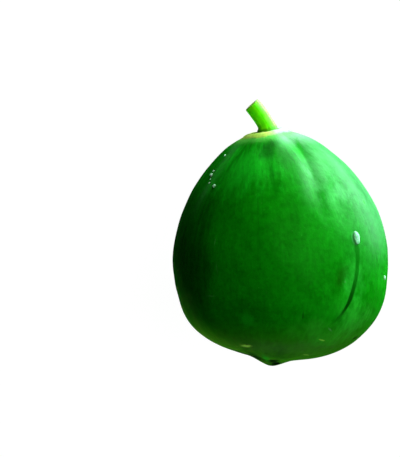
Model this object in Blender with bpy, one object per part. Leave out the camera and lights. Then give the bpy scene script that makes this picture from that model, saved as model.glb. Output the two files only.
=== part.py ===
"""Unripe papaya lying on its side, with its cut stalk and a dried drop of sap.

The fruit's own axis runs along Y, from the blossom end at -Y to the stalk at +Y. Its
right side is at +X and the side that faces up is at +Z. It rests on a small flat spot at
z = 0.
"""

import math

import bmesh
import bpy
import numpy as np

# Lengths in this file are in millimetres until a mesh is made.
MM = 0.001

# The fruit's body. Its outline is two superellipse halves that meet where it is widest.
LENGTH = 146.4
WIDTH = 139.0
DEPTH = 134.0
WIDEST = 0.439 * LENGTH
LOW_POWER = 2.657
HIGH_POWER = 1.744
SPINE_BEND = math.radians(5.87)

# The blossom end: a shallow pointed nub that hooks to the left, and a right side that
# hangs lower than the left.
NUB_HEIGHT = 7.9
NUB_RADIUS = 13.9
NUB_HOOK = 6.2
HOOK_REACH = 41.0
RIGHT_HANG = 4.8

# The crown leans a little to the left, and the stalk stands to the right of its middle.
CROWN_SHIFT = -1.3
CROWN_REACH = 30.0
STALK_SHIFT = 1.6

# Five lobes with a furrow between each two, given in degrees from the side that faces up
# to the right. The lobes are strongest round the stalk, where the furrows turn aside.
FURROWS = (-143.0, -57.0, 26.0, 82.0, 155.0)
FURROW_TWIST = math.radians(14.0)
TWIST_REACH = (100.0, 150.0)
LOBE_RISE = 3.9
LOBE_MEAN = 0.55
LOBE_FADE = (12.0, 73.0)
LOBE_FOOT = (8.0, 26.0)
BELLY_LOBE = 0.16
CREASE_DEPTH = 1.3
CREASE_WIDTH = 5.0

# The furrow on the left is shallower than the others.
LEFT_FURROW = math.radians(FURROWS[1])
LEFT_FILL = 0.5
FILL_POWER = 8

# The low ring round the stalk, given as radius and height above the crown's dome.
COLLAR = ((14.9, 0.35), (13.9, 1.0), (12.6, 1.35), (11.2, 1.2), (9.9, 0.6), (8.7, 0.0))
COLLAR_START = 16.2

# The stalk's middle line is an arc that leans to the left more and more.
GAP = 0.3
STALK_LENGTH = 19.6
STALK_RADIUS = 5.5
STALK_FLARE = 1.2
FLARE_REACH = 3.2
STALK_LEAN = (math.radians(22.0), math.radians(38.5))
STALK_SETTLES = 0.25
CUT_DOME = 0.7
CUT_EDGE = 0.6

# The dried drop of sap on the right side.
DROP_TURN = 0.565
DROP_AROUND = math.radians(42.0)
DROP_HALF_WIDTH = 2.6
DROP_HALF_LENGTH = 3.9
DROP_RISE = 1.3
DROP_RIM = 0.35

# The middle of the flat spot that it lies on, from the middle of the spine's chord.
FLAT_SPOT = (3.2, -12.3, -65.95)
SMALLEST_EDGE = 0.25

# How finely each piece is divided.
SIDES = 90
LOW_RINGS = 26
HIGH_RINGS = 24
STALK_SIDES = 36
STALK_RINGS = 12
DROP_SIDES = 24
DROP_RINGS = 5


def smooth_step(value, start, end):
    """0 up to start, 1 from end on, and an even ease between them."""
    share = np.clip((value - start) / (end - start), 0.0, 1.0)
    return share * share * (3.0 - 2.0 * share)


def dome_height(radius):
    """Height over the foot of the stalk-end half at a radius."""
    share = np.clip(2.0 * radius / WIDTH, 0.0, 1.0) ** HIGH_POWER
    return WIDEST + (LENGTH - WIDEST) * (1.0 - share) ** (1.0 / HIGH_POWER)


def outline(turn):
    """Height over the foot and radius, for a turn of 0 at the blossom end to 1."""
    angle = math.pi * turn
    if turn < 0.5:
        height = WIDEST * (1.0 - math.cos(angle) ** (2.0 / LOW_POWER))
        radius = WIDTH / 2.0 * math.sin(angle) ** (2.0 / LOW_POWER)
    else:
        radius = WIDTH / 2.0 * math.sin(angle) ** (2.0 / HIGH_POWER)
        height = float(dome_height(radius))
    return height, radius


def in_lobe(height, around):
    """Angle without the twist, angle from the nearest furrow, and share of the lobe."""
    twist = FURROW_TWIST * smooth_step(height, *TWIST_REACH)
    edges = np.radians(FURROWS + (FURROWS[0] + 360.0,))
    turned = (around - twist - edges[0]) % (2.0 * math.pi) + edges[0]
    lobe = np.searchsorted(edges, turned, side="right") - 1
    start, end = edges[lobe], edges[lobe + 1]
    share = (turned - start) / (end - start)
    return turned, np.where(share < 0.5, turned - start, turned - end), share


def lobe_relief(height, radius, around):
    """How far the lobes and furrows move the skin out from its plain round section."""
    turned, beside, share = in_lobe(height, around)
    swell = (0.5 - 0.5 * np.cos(2.0 * math.pi * share)) ** 0.8
    fade = 1.0 - smooth_step(LENGTH - height, *LOBE_FADE)
    foot = smooth_step(radius, *LOBE_FOOT)
    crease = CREASE_DEPTH * np.exp(-((radius * beside / CREASE_WIDTH) ** 2))
    rise = LOBE_RISE * (BELLY_LOBE + (1.0 - BELLY_LOBE) * fade)
    beside_left = np.maximum(0.0, np.cos(turned - LEFT_FURROW)) ** FILL_POWER
    kept = 1.0 - LEFT_FILL * beside_left
    return foot * kept * (rise * (swell - LOBE_MEAN) - fade * crease)


def spine(height):
    """Middle of the section at a height, and how far the section leans."""
    arc = LENGTH / (2.0 * SPINE_BEND)
    lean = SPINE_BEND * (2.0 * height / LENGTH - 1.0)
    hook = NUB_HOOK * smooth_step(HOOK_REACH - height, 0.0, HOOK_REACH)
    crown = CROWN_SHIFT * smooth_step(height, LENGTH - CROWN_REACH, LENGTH)
    x = arc * (np.cos(lean) - math.cos(SPINE_BEND)) - hook + crown
    return x, arc * np.sin(lean), lean


def section_point(height, radius, around):
    """Point at a radius and angle in the section at a height."""
    x, y, lean = spine(height)
    right = radius * np.sin(around)
    low = smooth_step(WIDEST - height, 0.0, WIDEST)
    hang = RIGHT_HANG * low * 2.0 * right / WIDTH
    up = radius * np.cos(around) * DEPTH / WIDTH
    return np.stack([x + right * np.cos(lean), y + right * np.sin(lean) - hang, up], -1)


def skin(turn, around):
    """Points of the skin at one turn, for angles from the upward side to the right."""
    height, radius = outline(turn)
    relief = lobe_relief(height, radius, around)
    if turn < 0.5:
        height -= NUB_HEIGHT / (1.0 + (radius / NUB_RADIUS) ** 2) ** 1.5
    return section_point(height, radius + relief, around)


def laid_down(points):
    """Points in metres, moved to put the middle of the flat spot at the origin."""
    return (points - np.array(FLAT_SPOT)) * MM


def angles(count):
    """Evenly spaced angles all the way round."""
    return 2.0 * math.pi * np.arange(count) / count


def solid_from_rings(name, rings, colour, roughness):
    """A closed piece from rings of equal length, with a flat or domed cap at each end."""
    sides = len(rings[0])
    points = laid_down(np.concatenate(rings))
    faces = []
    for ring in range(len(rings) - 1):
        for side in range(sides):
            after = (side + 1) % sides
            low, high = ring * sides, (ring + 1) * sides
            faces.append((low + side, low + after, high + after, high + side))
    last = (len(rings) - 1) * sides
    faces.append(tuple(range(sides))[::-1])
    faces.append(tuple(range(last, last + sides)))
    mesh = bpy.data.meshes.new(name)
    mesh.from_pydata(points.tolist(), [], faces)
    piece = bpy.data.objects.new(name, mesh)
    bpy.context.scene.collection.objects.link(piece)
    mesh.materials.append(plain_material(name, colour, roughness))
    face_outward(mesh)
    return piece


def face_outward(mesh):
    """Turn every face of a closed mesh to face out."""
    shape = bmesh.new()
    shape.from_mesh(mesh)
    bmesh.ops.recalc_face_normals(shape, faces=shape.faces)
    shape.to_mesh(mesh)
    shape.free()


def plain_material(name, colour, roughness):
    """A Principled material of one colour."""
    material = bpy.data.materials.new(name)
    material.use_nodes = True
    shader = material.node_tree.nodes["Principled BSDF"]
    shader.inputs["Base Color"].default_value = (*colour, 1.0)
    shader.inputs["Roughness"].default_value = roughness
    shader.inputs["Metallic"].default_value = 0.0
    return material


def smooth_shaded(piece, sharp_from):
    """Smooth shading with a crisp edge where faces meet at more than an angle."""
    piece.data.shade_smooth()
    piece.data.set_sharp_from_angle(angle=math.radians(sharp_from))


def cut_flat_spot(mesh):
    """Cut the mesh off at z = 0 and close the cut with one flat face."""
    shape = bmesh.new()
    shape.from_mesh(mesh)
    everything = list(shape.verts) + list(shape.edges) + list(shape.faces)
    cut = bmesh.ops.bisect_plane(
        shape, geom=everything, plane_co=(0, 0, 0), plane_no=(0, 0, -1), clear_outer=True
    )
    rim = [e for e in cut["geom_cut"] if isinstance(e, bmesh.types.BMVert)]
    bmesh.ops.remove_doubles(shape, verts=rim, dist=SMALLEST_EDGE * MM)
    rim = [v for v in shape.verts if v.is_boundary]
    low = [v for v in shape.verts if v.co.z < 4.0 * SMALLEST_EDGE * MM]
    near = bmesh.ops.find_doubles(
        shape, verts=low, keep_verts=rim, dist=SMALLEST_EDGE * MM
    )
    bmesh.ops.weld_verts(shape, targetmap=near["targetmap"])
    open_edges = [e for e in shape.edges if e.is_boundary]
    bmesh.ops.contextual_create(shape, geom=open_edges)
    for edge in open_edges:
        edge.smooth = False
    bmesh.ops.recalc_face_normals(shape, faces=shape.faces)
    shape.to_mesh(mesh)
    shape.free()


def fruit_body():
    """The grown fruit, from the scar on the nub to the seat inside the pale ring."""
    around = angles(SIDES)
    rings = []
    for ring in range(1, LOW_RINGS + 1):
        rings.append(skin(0.5 * (ring / LOW_RINGS) ** 1.4, around))
    for ring in range(HIGH_RINGS - 1, 0, -1):
        turn = 1.0 - 0.5 * (ring / HIGH_RINGS) ** 1.2
        if outline(turn)[1] < COLLAR_START:
            break
        rings.append(skin(turn, around))
    for radius, rise in COLLAR:
        height = float(dome_height(radius)) + rise
        rings.append(section_point(height, radius, around))
    body = solid_from_rings("fruit_body", rings, (0.012, 0.21, 0.012), 0.38)
    smooth_shaded(body, 38.0)
    cut_flat_spot(body.data)


def stem():
    """The cut stalk, which stands in the ring and flares at its foot."""
    seat_radius, seat_rise = COLLAR[-1]
    foot_height = float(dome_height(seat_radius)) + seat_rise
    x, y, lean = spine(foot_height)
    direction = np.array([-math.sin(lean), math.cos(lean), 0.0])
    middle = np.array([x + STALK_SHIFT, y, 0.0]) + GAP * direction
    around = angles(STALK_SIDES)
    step = STALK_LENGTH / STALK_RINGS
    rings = []
    for ring in range(STALK_RINGS + 1):
        share = ring / STALK_RINGS
        lean = stalk_lean(share)
        flare = STALK_FLARE * math.exp(-((share * STALK_LENGTH / FLARE_REACH) ** 2))
        rings.append(stalk_ring(middle, lean, STALK_RADIUS + flare, around))
        if ring < STALK_RINGS:
            middle = middle + step * np.array([-math.sin(lean), math.cos(lean), 0.0])
    forward = np.array([-math.sin(lean), math.cos(lean), 0.0])
    for share in (0.35, 0.7, 1.0):
        bulge = CUT_DOME * math.sin(share * math.pi / 2.0)
        radius = (STALK_RADIUS - CUT_EDGE * share) * math.cos(share * 0.9)
        rings.append(stalk_ring(middle + bulge * forward, lean, radius, around))
    stalk = solid_from_rings("stem", rings, (0.11, 0.5, 0.02), 0.45)
    smooth_shaded(stalk, 40.0)


def stalk_lean(share):
    """Lean to the left: square to the seat at the foot, then more and more."""
    start, end = STALK_LEAN
    settled = float(smooth_step(share, 0.0, STALK_SETTLES))
    return SPINE_BEND + (start + (end - start) * share - SPINE_BEND) * settled


def stalk_ring(middle, lean, radius, around):
    """A ring of the stalk, square to its middle line."""
    across = np.array([math.cos(lean), math.sin(lean), 0.0])
    up = np.array([0.0, 0.0, 1.0])
    return middle + radius * (
        np.sin(around)[:, None] * across + np.cos(around)[:, None] * up
    )


def latex_bead():
    """The dried drop of sap, a low dome just clear of the skin."""
    turn_step, around_step = 0.001, 0.001
    height, radius = outline(DROP_TURN)
    along_length = math.hypot(
        outline(DROP_TURN + turn_step)[0] - height,
        outline(DROP_TURN + turn_step)[1] - radius,
    )
    rings = []
    for level, share in drop_levels():
        ring = []
        for angle in angles(DROP_SIDES):
            narrow = 1.0 - 0.25 * (0.5 - 0.5 * math.cos(angle))
            right = DROP_HALF_WIDTH * narrow * share * math.sin(angle)
            along = DROP_HALF_LENGTH * share * math.cos(angle)
            turn = DROP_TURN + along * turn_step / along_length
            around = DROP_AROUND + right / radius
            here = skin(turn, np.array([around]))[0]
            beside = skin(turn, np.array([around + around_step]))[0] - here
            ahead = skin(turn + turn_step, np.array([around]))[0] - here
            outward = np.cross(beside, ahead)
            ring.append(here + level * outward / np.linalg.norm(outward))
        rings.append(np.array(ring))
    bead = solid_from_rings("latex_bead", rings, (0.62, 0.86, 0.66), 0.3)
    smooth_shaded(bead, 60.0)


def drop_levels():
    """Height over the skin and share of the full size for each ring of the drop."""
    yield GAP, 0.35
    yield GAP, 0.7
    yield GAP, 1.0
    for ring in range(DROP_RINGS):
        share = ring / DROP_RINGS
        dome = math.sqrt(1.0 - share * share)
        yield GAP + DROP_RIM + (DROP_RISE - DROP_RIM) * share, dome


def main():
    """Clear the scene and make the three pieces."""
    for item in list(bpy.data.objects):
        bpy.data.objects.remove(item)
    fruit_body()
    stem()
    latex_bead()


main()
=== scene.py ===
"""Looks for the unripe papaya: its skin, cut stalk, dried sap, light and camera.

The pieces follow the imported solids, from the same sizes, in the same frame: the fruit's
axis along Y with the stalk at +Y, its right side at +X, and the side facing up at +Z.
"""

import math

import bmesh
import bpy
import numpy as np
from mathutils import Matrix, Vector


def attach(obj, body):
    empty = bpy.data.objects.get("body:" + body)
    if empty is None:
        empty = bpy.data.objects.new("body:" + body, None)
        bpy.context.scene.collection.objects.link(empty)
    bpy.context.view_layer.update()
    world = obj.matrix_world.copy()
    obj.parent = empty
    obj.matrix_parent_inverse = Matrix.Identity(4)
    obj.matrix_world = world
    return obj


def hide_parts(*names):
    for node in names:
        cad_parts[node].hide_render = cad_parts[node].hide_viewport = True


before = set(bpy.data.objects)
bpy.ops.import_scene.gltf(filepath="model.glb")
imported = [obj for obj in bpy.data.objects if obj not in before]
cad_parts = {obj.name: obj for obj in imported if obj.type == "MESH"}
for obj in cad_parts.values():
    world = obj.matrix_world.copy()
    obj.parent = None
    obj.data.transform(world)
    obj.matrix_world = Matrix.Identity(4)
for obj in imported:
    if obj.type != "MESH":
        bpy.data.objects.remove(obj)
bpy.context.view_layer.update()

# Lengths are in millimetres until a mesh, a light or a camera is made.
MM = 0.001

# The fruit's body, as in the solids.
LENGTH = 146.4
WIDTH = 139.0
DEPTH = 134.0
WIDEST = 0.439 * LENGTH
LOW_POWER = 2.657
HIGH_POWER = 1.744
SPINE_BEND = math.radians(5.87)
NUB_HEIGHT = 7.9
NUB_RADIUS = 13.9
NUB_HOOK = 6.2
HOOK_REACH = 41.0
RIGHT_HANG = 4.8
CROWN_SHIFT = -1.3
CROWN_REACH = 30.0
FLAT_SPOT = (3.2, -12.3, -65.95)

# Its lobes and furrows, as in the solids.
FURROWS = (-143.0, -57.0, 26.0, 82.0, 155.0)
FURROW_TWIST = math.radians(14.0)
TWIST_REACH = (100.0, 150.0)
LOBE_RISE = 3.9
LOBE_MEAN = 0.55
LOBE_FADE = (12.0, 73.0)
LOBE_FOOT = (8.0, 26.0)
BELLY_LOBE = 0.16
CREASE_DEPTH = 1.3
CREASE_WIDTH = 5.0
LEFT_FURROW = math.radians(FURROWS[1])
LEFT_FILL = 0.5
FILL_POWER = 8

# The pale ring, the stalk and the drop of sap, as in the solids.
COLLAR = ((14.9, 0.35), (13.9, 1.0), (12.6, 1.35), (11.2, 1.2), (9.9, 0.6), (8.7, 0.0))
COLLAR_START = 16.2
GAP = 0.3
STALK_SHIFT = 1.6
STALK_LENGTH = 19.6
STALK_RADIUS = 5.5
STALK_FLARE = 1.2
FLARE_REACH = 3.2
STALK_LEAN = (math.radians(22.0), math.radians(38.5))
STALK_SETTLES = 0.25
CUT_DOME = 0.7
DROP_TURN = 0.565
DROP_AROUND = math.radians(42.0)
DROP_HALF_WIDTH = 2.6
DROP_HALF_LENGTH = 3.9
DROP_RISE = 1.3
DROP_RIM = 0.35

# Dots of dried sap on the left shoulder, and one far right: height, angle, half sizes.
SAP_DOTS = (
    (134.3, -67.8, 0.8, 0.8),
    (125.5, -67.5, 0.8, 0.8),
    (123.2, -66.8, 1.35, 1.4),
    (120.7, -64.2, 0.6, 0.6),
    (118.4, -62.8, 0.65, 0.65),
    (116.5, -55.0, 1.25, 1.25),
    (51.0, 68.2, 1.35, 1.25),
)
DOT_RISE = 0.8
DOT_SINK = 0.06
DOT_ROOT = 0.25

# How finely the pieces are divided.
SIDES = 360
LOW_RINGS = 100
LOW_CROWDING = 1.35
HIGH_RINGS = 110
HIGH_CROWDING = 1.2
COLLAR_RINGS = 26
STALK_SIDES = 96
STALK_RINGS = 64
CUT_RINGS = 14
DROP_SIDES = 48
DROP_RINGS = 12
DOT_SIDES = 20
DOT_RINGS = 5
SMALL_STEP = 0.001

# Small relief that the solids leave out. Ripples have a count, a rise and a phase.
FINE_FADE = (20.0, 50.0)
FINE_FOOT = (20.0, 34.0)
SHARP_CREASE = 0.62
SHARP_WIDTH = 3.0
RIDGE_RISE = 0.22
RIDGE_PLACE = 7.0
RIDGE_WIDTH = 3.6
NUB_RIPPLES = ((10, 0.32, 0.0), (7, 0.16, 1.3))
NUB_RIB_REACH = (2.0, 9.0, 20.0)
LUMP_RISE = 0.22
DIMPLE = (131.0, math.radians(-6.5), 1.4, 6.0)
DIMPLE_STRETCH = 2.2
COLLAR_RIPPLES = ((5, 0.12, 0.0), (13, 0.10, 0.7))
COLLAR_WAVES = ((9, 0.10, 2.0),)
COLLAR_UNEVEN = 0.22
STALK_RIPPLES = ((7, 0.09, 0.4), (12, 0.06, 2.0), (21, 0.04, 1.0))
STALK_THINNER = 0.1
STALK_SWELLING = 0.07
CUT_EDGE = 0.25
CUT_INSET = 0.35
CUT_ROUGH = 0.05

# Where the skin's material paints shade in the furrows and highlights on the ridges and
# banks beside them: reach, places and widths.
PAINT_FADE = (30.0, 78.0)
FURROW_FOOT = (26.0, 38.0)
FURROW_WIDTH = 3.0
RIDGE_FOOT = (16.0, 24.0)
RIDGE_PAINT = (7.0, 3.8)
BANK_PAINT = (9.0, 5.5)

# Camera: how far the view is from straight down, its roll, and what it aims at.
VIEW_TILT = math.radians(6.0)
VIEW_ROLL = math.radians(3.82)
CAMERA_DISTANCE = 1.2
PIXEL = 0.647
PICTURE = (400.0, 457.0)
FRUIT_IN_PICTURE = (273.9, 241.8)
SENSOR = 36.0


def smooth_step(value, start, end):
    """0 up to start, 1 from end on, and an even ease between them."""
    share = np.clip((value - start) / (end - start), 0.0, 1.0)
    return share * share * (3.0 - 2.0 * share)


def bell(value, width):
    """1 at zero, falling off on both sides over a width."""
    return np.exp(-((value / width) ** 2))


def ripples(around, parts):
    """Waves round a ring added up, each with a count, a rise and a phase."""
    return sum(rise * np.cos(count * around + phase) for count, rise, phase in parts)


def waves(points, size, seed, count=28):
    """Smooth random relief of about a given size, between about -1 and 1."""
    random = np.random.default_rng(seed)
    direction = random.normal(size=(count, 3))
    direction /= np.linalg.norm(direction, axis=1)[:, None]
    pitch = 2.0 * math.pi / (size * random.uniform(0.7, 1.5, count))
    phase = random.uniform(0.0, 2.0 * math.pi, count)
    heights = np.cos(points @ (direction * pitch[:, None]).T + phase)
    return heights.sum(axis=1) / math.sqrt(count)


# The fruit's surface.


def dome_height(radius):
    """Height over the foot of the stalk-end half at a radius."""
    share = np.clip(2.0 * radius / WIDTH, 0.0, 1.0) ** HIGH_POWER
    return WIDEST + (LENGTH - WIDEST) * (1.0 - share) ** (1.0 / HIGH_POWER)


def outline(turn):
    """Height over the foot and radius, for a turn of 0 at the blossom end to 1."""
    angle = math.pi * turn
    if turn < 0.5:
        height = WIDEST * (1.0 - math.cos(angle) ** (2.0 / LOW_POWER))
        radius = WIDTH / 2.0 * math.sin(angle) ** (2.0 / LOW_POWER)
    else:
        radius = WIDTH / 2.0 * math.sin(angle) ** (2.0 / HIGH_POWER)
        height = float(dome_height(radius))
    return height, radius


def turn_at(height):
    """The turn whose outline has a height over the foot."""
    low, high = 0.0, 1.0
    for _ in range(40):
        middle = (low + high) / 2.0
        if outline(middle)[0] < height:
            low = middle
        else:
            high = middle
    return low


def in_lobe(height, around):
    """Angle without the twist, angle from the nearest furrow, and share of the lobe."""
    twist = FURROW_TWIST * smooth_step(height, *TWIST_REACH)
    edges = np.radians(FURROWS + (FURROWS[0] + 360.0,))
    turned = (around - twist - edges[0]) % (2.0 * math.pi) + edges[0]
    lobe = np.searchsorted(edges, turned, side="right") - 1
    start, end = edges[lobe], edges[lobe + 1]
    share = (turned - start) / (end - start)
    return turned, np.where(share < 0.5, turned - start, turned - end), share


def kept_relief(turned):
    """How much of the relief is left near the shallow furrow on the left."""
    return 1.0 - LEFT_FILL * np.maximum(0.0, np.cos(turned - LEFT_FURROW)) ** FILL_POWER


def lobe_relief(height, radius, around):
    """How far the lobes and furrows move the skin out from its plain round section."""
    turned, beside, share = in_lobe(height, around)
    swell = (0.5 - 0.5 * np.cos(2.0 * math.pi * share)) ** 0.8
    fade = 1.0 - smooth_step(LENGTH - height, *LOBE_FADE)
    foot = smooth_step(radius, *LOBE_FOOT)
    crease = CREASE_DEPTH * bell(radius * beside, CREASE_WIDTH)
    rise = LOBE_RISE * (BELLY_LOBE + (1.0 - BELLY_LOBE) * fade)
    return foot * kept_relief(turned) * (rise * (swell - LOBE_MEAN) - fade * crease)


def fine_relief(height, radius, around):
    """The furrows' sharp middles, the ridges beside them, the nub's ribs, a dimple."""
    turned, beside, _ = in_lobe(height, around)
    beside = radius * beside
    fade = 1.0 - smooth_step(LENGTH - height, *FINE_FADE)
    foot = smooth_step(radius, *FINE_FOOT)
    fade = fade * kept_relief(turned) ** 1.5
    sharp = -SHARP_CREASE * bell(beside, SHARP_WIDTH)
    ridge = RIDGE_RISE * bell(beside + RIDGE_PLACE, RIDGE_WIDTH)
    start, full, end = NUB_RIB_REACH
    near_tip = smooth_step(radius, start, full) * (1.0 - smooth_step(radius, full, end))
    nub = near_tip * ripples(around, NUB_RIPPLES) * (1.0 if height < WIDEST else 0.0)
    place, angle, depth, reach = DIMPLE
    away = np.hypot((height - place) / DIMPLE_STRETCH, radius * (around - angle))
    return foot * fade * (sharp + ridge) + nub - depth * bell(away, reach)


def spine(height):
    """Middle of the section at a height, and how far the section leans."""
    arc = LENGTH / (2.0 * SPINE_BEND)
    lean = SPINE_BEND * (2.0 * height / LENGTH - 1.0)
    hook = NUB_HOOK * smooth_step(HOOK_REACH - height, 0.0, HOOK_REACH)
    crown = CROWN_SHIFT * smooth_step(height, LENGTH - CROWN_REACH, LENGTH)
    x = arc * (np.cos(lean) - math.cos(SPINE_BEND)) - hook + crown
    return x, arc * np.sin(lean), lean


def section_point(height, radius, around):
    """Point at a radius and angle in the section at a height."""
    x, y, lean = spine(height)
    right = radius * np.sin(around)
    low = smooth_step(WIDEST - height, 0.0, WIDEST)
    hang = RIGHT_HANG * low * 2.0 * right / WIDTH
    up = radius * np.cos(around) * DEPTH / WIDTH
    return np.stack([x + right * np.cos(lean), y + right * np.sin(lean) - hang, up], -1)


def skin(turn, around):
    """Points of the skin at one turn, for angles from the upward side to the right."""
    height, radius = outline(turn)
    relief = lobe_relief(height, radius, around) + fine_relief(height, radius, around)
    if turn < 0.5:
        height -= NUB_HEIGHT / (1.0 + (radius / NUB_RADIUS) ** 2) ** 1.5
    return section_point(height, radius + relief, around)


def laid_down(points):
    """Points in metres, moved to put the middle of the flat spot at the origin."""
    return (np.asarray(points) - np.array(FLAT_SPOT)) * MM


def skin_frame(turn, around):
    """A point of the skin in millimetres, and its directions right, ahead and out."""
    here = skin(turn, np.array([around]))[0]
    right = skin(turn, np.array([around + SMALL_STEP]))[0] - here
    ahead = skin(turn + SMALL_STEP, np.array([around]))[0] - here
    right /= np.linalg.norm(right)
    out = np.cross(right, ahead / np.linalg.norm(ahead))
    out /= np.linalg.norm(out)
    return here, right, np.cross(out, right), out


# Meshes.


def angles(count):
    """Evenly spaced angles from the side that lies down, all the way round."""
    return 2.0 * math.pi * np.arange(count) / count - math.pi


def facing(angle):
    """The way an angle faces, as a vector with its right part and its upward part."""
    return np.stack([np.sin(angle), np.cos(angle), 0 * angle], -1)


def face_outward(mesh):
    """Turn every face of a closed mesh to face out."""
    shape = bmesh.new()
    shape.from_mesh(mesh)
    bmesh.ops.recalc_face_normals(shape, faces=shape.faces)
    shape.to_mesh(mesh)
    shape.free()


def new_piece(name, points, faces):
    """A smooth piece from points in millimetres, with its faces turned outward."""
    mesh = bpy.data.meshes.new(name)
    mesh.from_pydata(laid_down(points).tolist(), [], faces)
    piece = bpy.data.objects.new(name, mesh)
    bpy.context.scene.collection.objects.link(piece)
    face_outward(mesh)
    mesh.shade_smooth()
    return piece


def closed_piece(name, rings):
    """A closed smooth piece from rings of equal length, capped at both ends."""
    sides = len(rings[0])
    faces = []
    for ring in range(len(rings) - 1):
        for side in range(sides):
            after = (side + 1) % sides
            low, high = ring * sides, (ring + 1) * sides
            faces.append((low + side, low + after, high + after, high + side))
    last = (len(rings) - 1) * sides
    faces.append(tuple(range(sides))[::-1])
    faces.append(tuple(range(last, last + sides)))
    return new_piece(name, np.concatenate(rings), faces)


def store(mesh, name, values):
    """Keep one number or one vector for each point, for the material to read."""
    values = np.asarray(values, dtype=np.float32)
    kind, field = ("FLOAT", "value") if values.ndim == 1 else ("FLOAT_VECTOR", "vector")
    attribute = mesh.attributes.new(name, kind, "POINT")
    attribute.data.foreach_set(field, values.ravel())


def cut_flat_spot(mesh):
    """Cut the mesh off at z = 0 and close the cut with one flat face."""
    shape = bmesh.new()
    shape.from_mesh(mesh)
    everything = list(shape.verts) + list(shape.edges) + list(shape.faces)
    bmesh.ops.bisect_plane(
        shape, geom=everything, plane_co=(0, 0, 0), plane_no=(0, 0, -1), clear_outer=True
    )
    open_edges = [e for e in shape.edges if e.is_boundary]
    bmesh.ops.contextual_create(shape, geom=open_edges)
    for edge in open_edges:
        edge.smooth = False
    shape.to_mesh(mesh)
    shape.free()


def ring_turns():
    """The turns of the skin's rings, closer together near both ends."""
    low = LOW_RINGS
    for ring in range(1, low + 1):
        yield 0.5 * (ring / low) ** LOW_CROWDING
    high = HIGH_RINGS
    for ring in range(high - 1, 0, -1):
        turn = 1.0 - 0.5 * (ring / high) ** HIGH_CROWDING
        if outline(turn)[1] < COLLAR_START:
            break
        yield turn


def collar_profile():
    """Radius and rise of the pale ring's rings, eased between the solids' values."""
    radii = [radius for radius, rise in COLLAR]
    rises = [rise for radius, rise in COLLAR]
    fine = np.linspace(radii[0], radii[-1], COLLAR_RINGS)
    eased = np.interp(fine, radii[::-1], rises[::-1])
    kernel = np.array([0.25, 0.5, 0.25])
    for _ in range(3):
        padded = np.concatenate([eased[:1], eased, eased[-1:]])
        eased = np.convolve(padded, kernel, mode="valid")
    return list(zip(fine, eased, strict=True))


def collar_ring(radius, rise, around):
    """One ring of the pale ring, a little wavy and higher on its right side."""
    uneven = 1.0 - COLLAR_UNEVEN + COLLAR_UNEVEN * np.sin(around)
    height = float(dome_height(radius)) + rise * uneven
    ring = section_point(height, radius + ripples(around, COLLAR_RIPPLES), around)
    ring[:, 1] += ripples(around, COLLAR_WAVES) * smooth_step(rise, 0.2, 1.2)
    return ring


def lumps(points, height, radius):
    """Low soft lumps on the skin, fading out at its ends and by the flat spot."""
    off_flat = smooth_step(points[:, 2], FLAT_SPOT[2] + 2.0, FLAT_SPOT[2] + 9.0)
    off_ends = smooth_step(radius, 4.0, 22.0)
    x, y, _ = spine(height)
    outward = points - np.stack([x, y, 0.0 * height], -1)
    outward /= np.linalg.norm(outward, axis=1)[:, None]
    relief = 0.7 * waves(points, 26.0, 3) + 0.3 * waves(points, 11.0, 4)
    return outward * (LUMP_RISE * off_flat * off_ends * relief)[:, None]


def tell_material(mesh, height, radius, angle):
    """Keep on the skin what its material reads: the place, and what is beside it, for the
    painted shade in the furrows and the painted highlights on the ridges and banks.
    """
    turned, beside, _ = in_lobe(height, angle)
    beside = radius * beside
    fade = kept_relief(turned) * (1.0 - smooth_step(LENGTH - height, *PAINT_FADE))
    in_furrow = smooth_step(radius, *FURROW_FOOT) * bell(beside, FURROW_WIDTH)
    foot = smooth_step(radius, *RIDGE_FOOT)
    store(mesh, "skin_around", facing(angle))
    store(mesh, "skin_height", height)
    store(mesh, "skin_radius", radius)
    store(mesh, "furrow", fade * in_furrow)
    store(mesh, "ridge", fade * bell(beside + RIDGE_PAINT[0], RIDGE_PAINT[1]) * foot)
    store(mesh, "bank", fade * bell(beside - BANK_PAINT[0], BANK_PAINT[1]) * foot)


def fruit_skin():
    """The fruit's skin, with its relief and what the material needs to know."""
    around = angles(SIDES)
    rings, heights, radii = [], [], []
    for turn in ring_turns():
        height, radius = outline(turn)
        rings.append(skin(turn, around))
        heights.append(height)
        radii.append(radius)
    for radius, rise in collar_profile():
        rings.append(collar_ring(radius, rise, around))
        heights.append(float(dome_height(radius)))
        radii.append(radius)
    points = np.concatenate(rings)
    height = np.repeat(heights, SIDES)
    radius = np.repeat(radii, SIDES)
    points = points + lumps(points, height, radius)
    piece = closed_piece("papaya_skin", np.split(points, len(rings)))
    tell_material(piece.data, height, radius, np.tile(around, len(rings)))
    cut_flat_spot(piece.data)
    return piece


def stalk_lean(share):
    """Lean to the left: square to the seat at the foot, then more and more."""
    start, end = STALK_LEAN
    settled = float(smooth_step(share, 0.0, STALK_SETTLES))
    return SPINE_BEND + (start + (end - start) * share - SPINE_BEND) * settled


def stalk_radius(share):
    """Radius at a share of the length: flared at the foot, eased at the cut."""
    flare = STALK_FLARE * math.exp(-((share * STALK_LENGTH / FLARE_REACH) ** 2))
    swelling = STALK_SWELLING * math.cos(9.0 * share + 0.8)
    edge = CUT_EDGE * float(smooth_step(share, 0.975, 1.0))
    return STALK_RADIUS - STALK_THINNER + flare + swelling - edge


def stalk_ring(middle, lean, radius, around):
    """A ring of the stalk, square to its middle line."""
    across = np.array([math.cos(lean), math.sin(lean), 0.0])
    up = np.array([0.0, 0.0, 1.0])
    radius = np.broadcast_to(radius, around.shape)[:, None]
    return middle + radius * (
        np.sin(around)[:, None] * across + np.cos(around)[:, None] * up
    )


def ahead_at(lean):
    """The way that the stalk grows where it has a lean."""
    return np.array([-math.sin(lean), math.cos(lean), 0.0])


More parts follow.
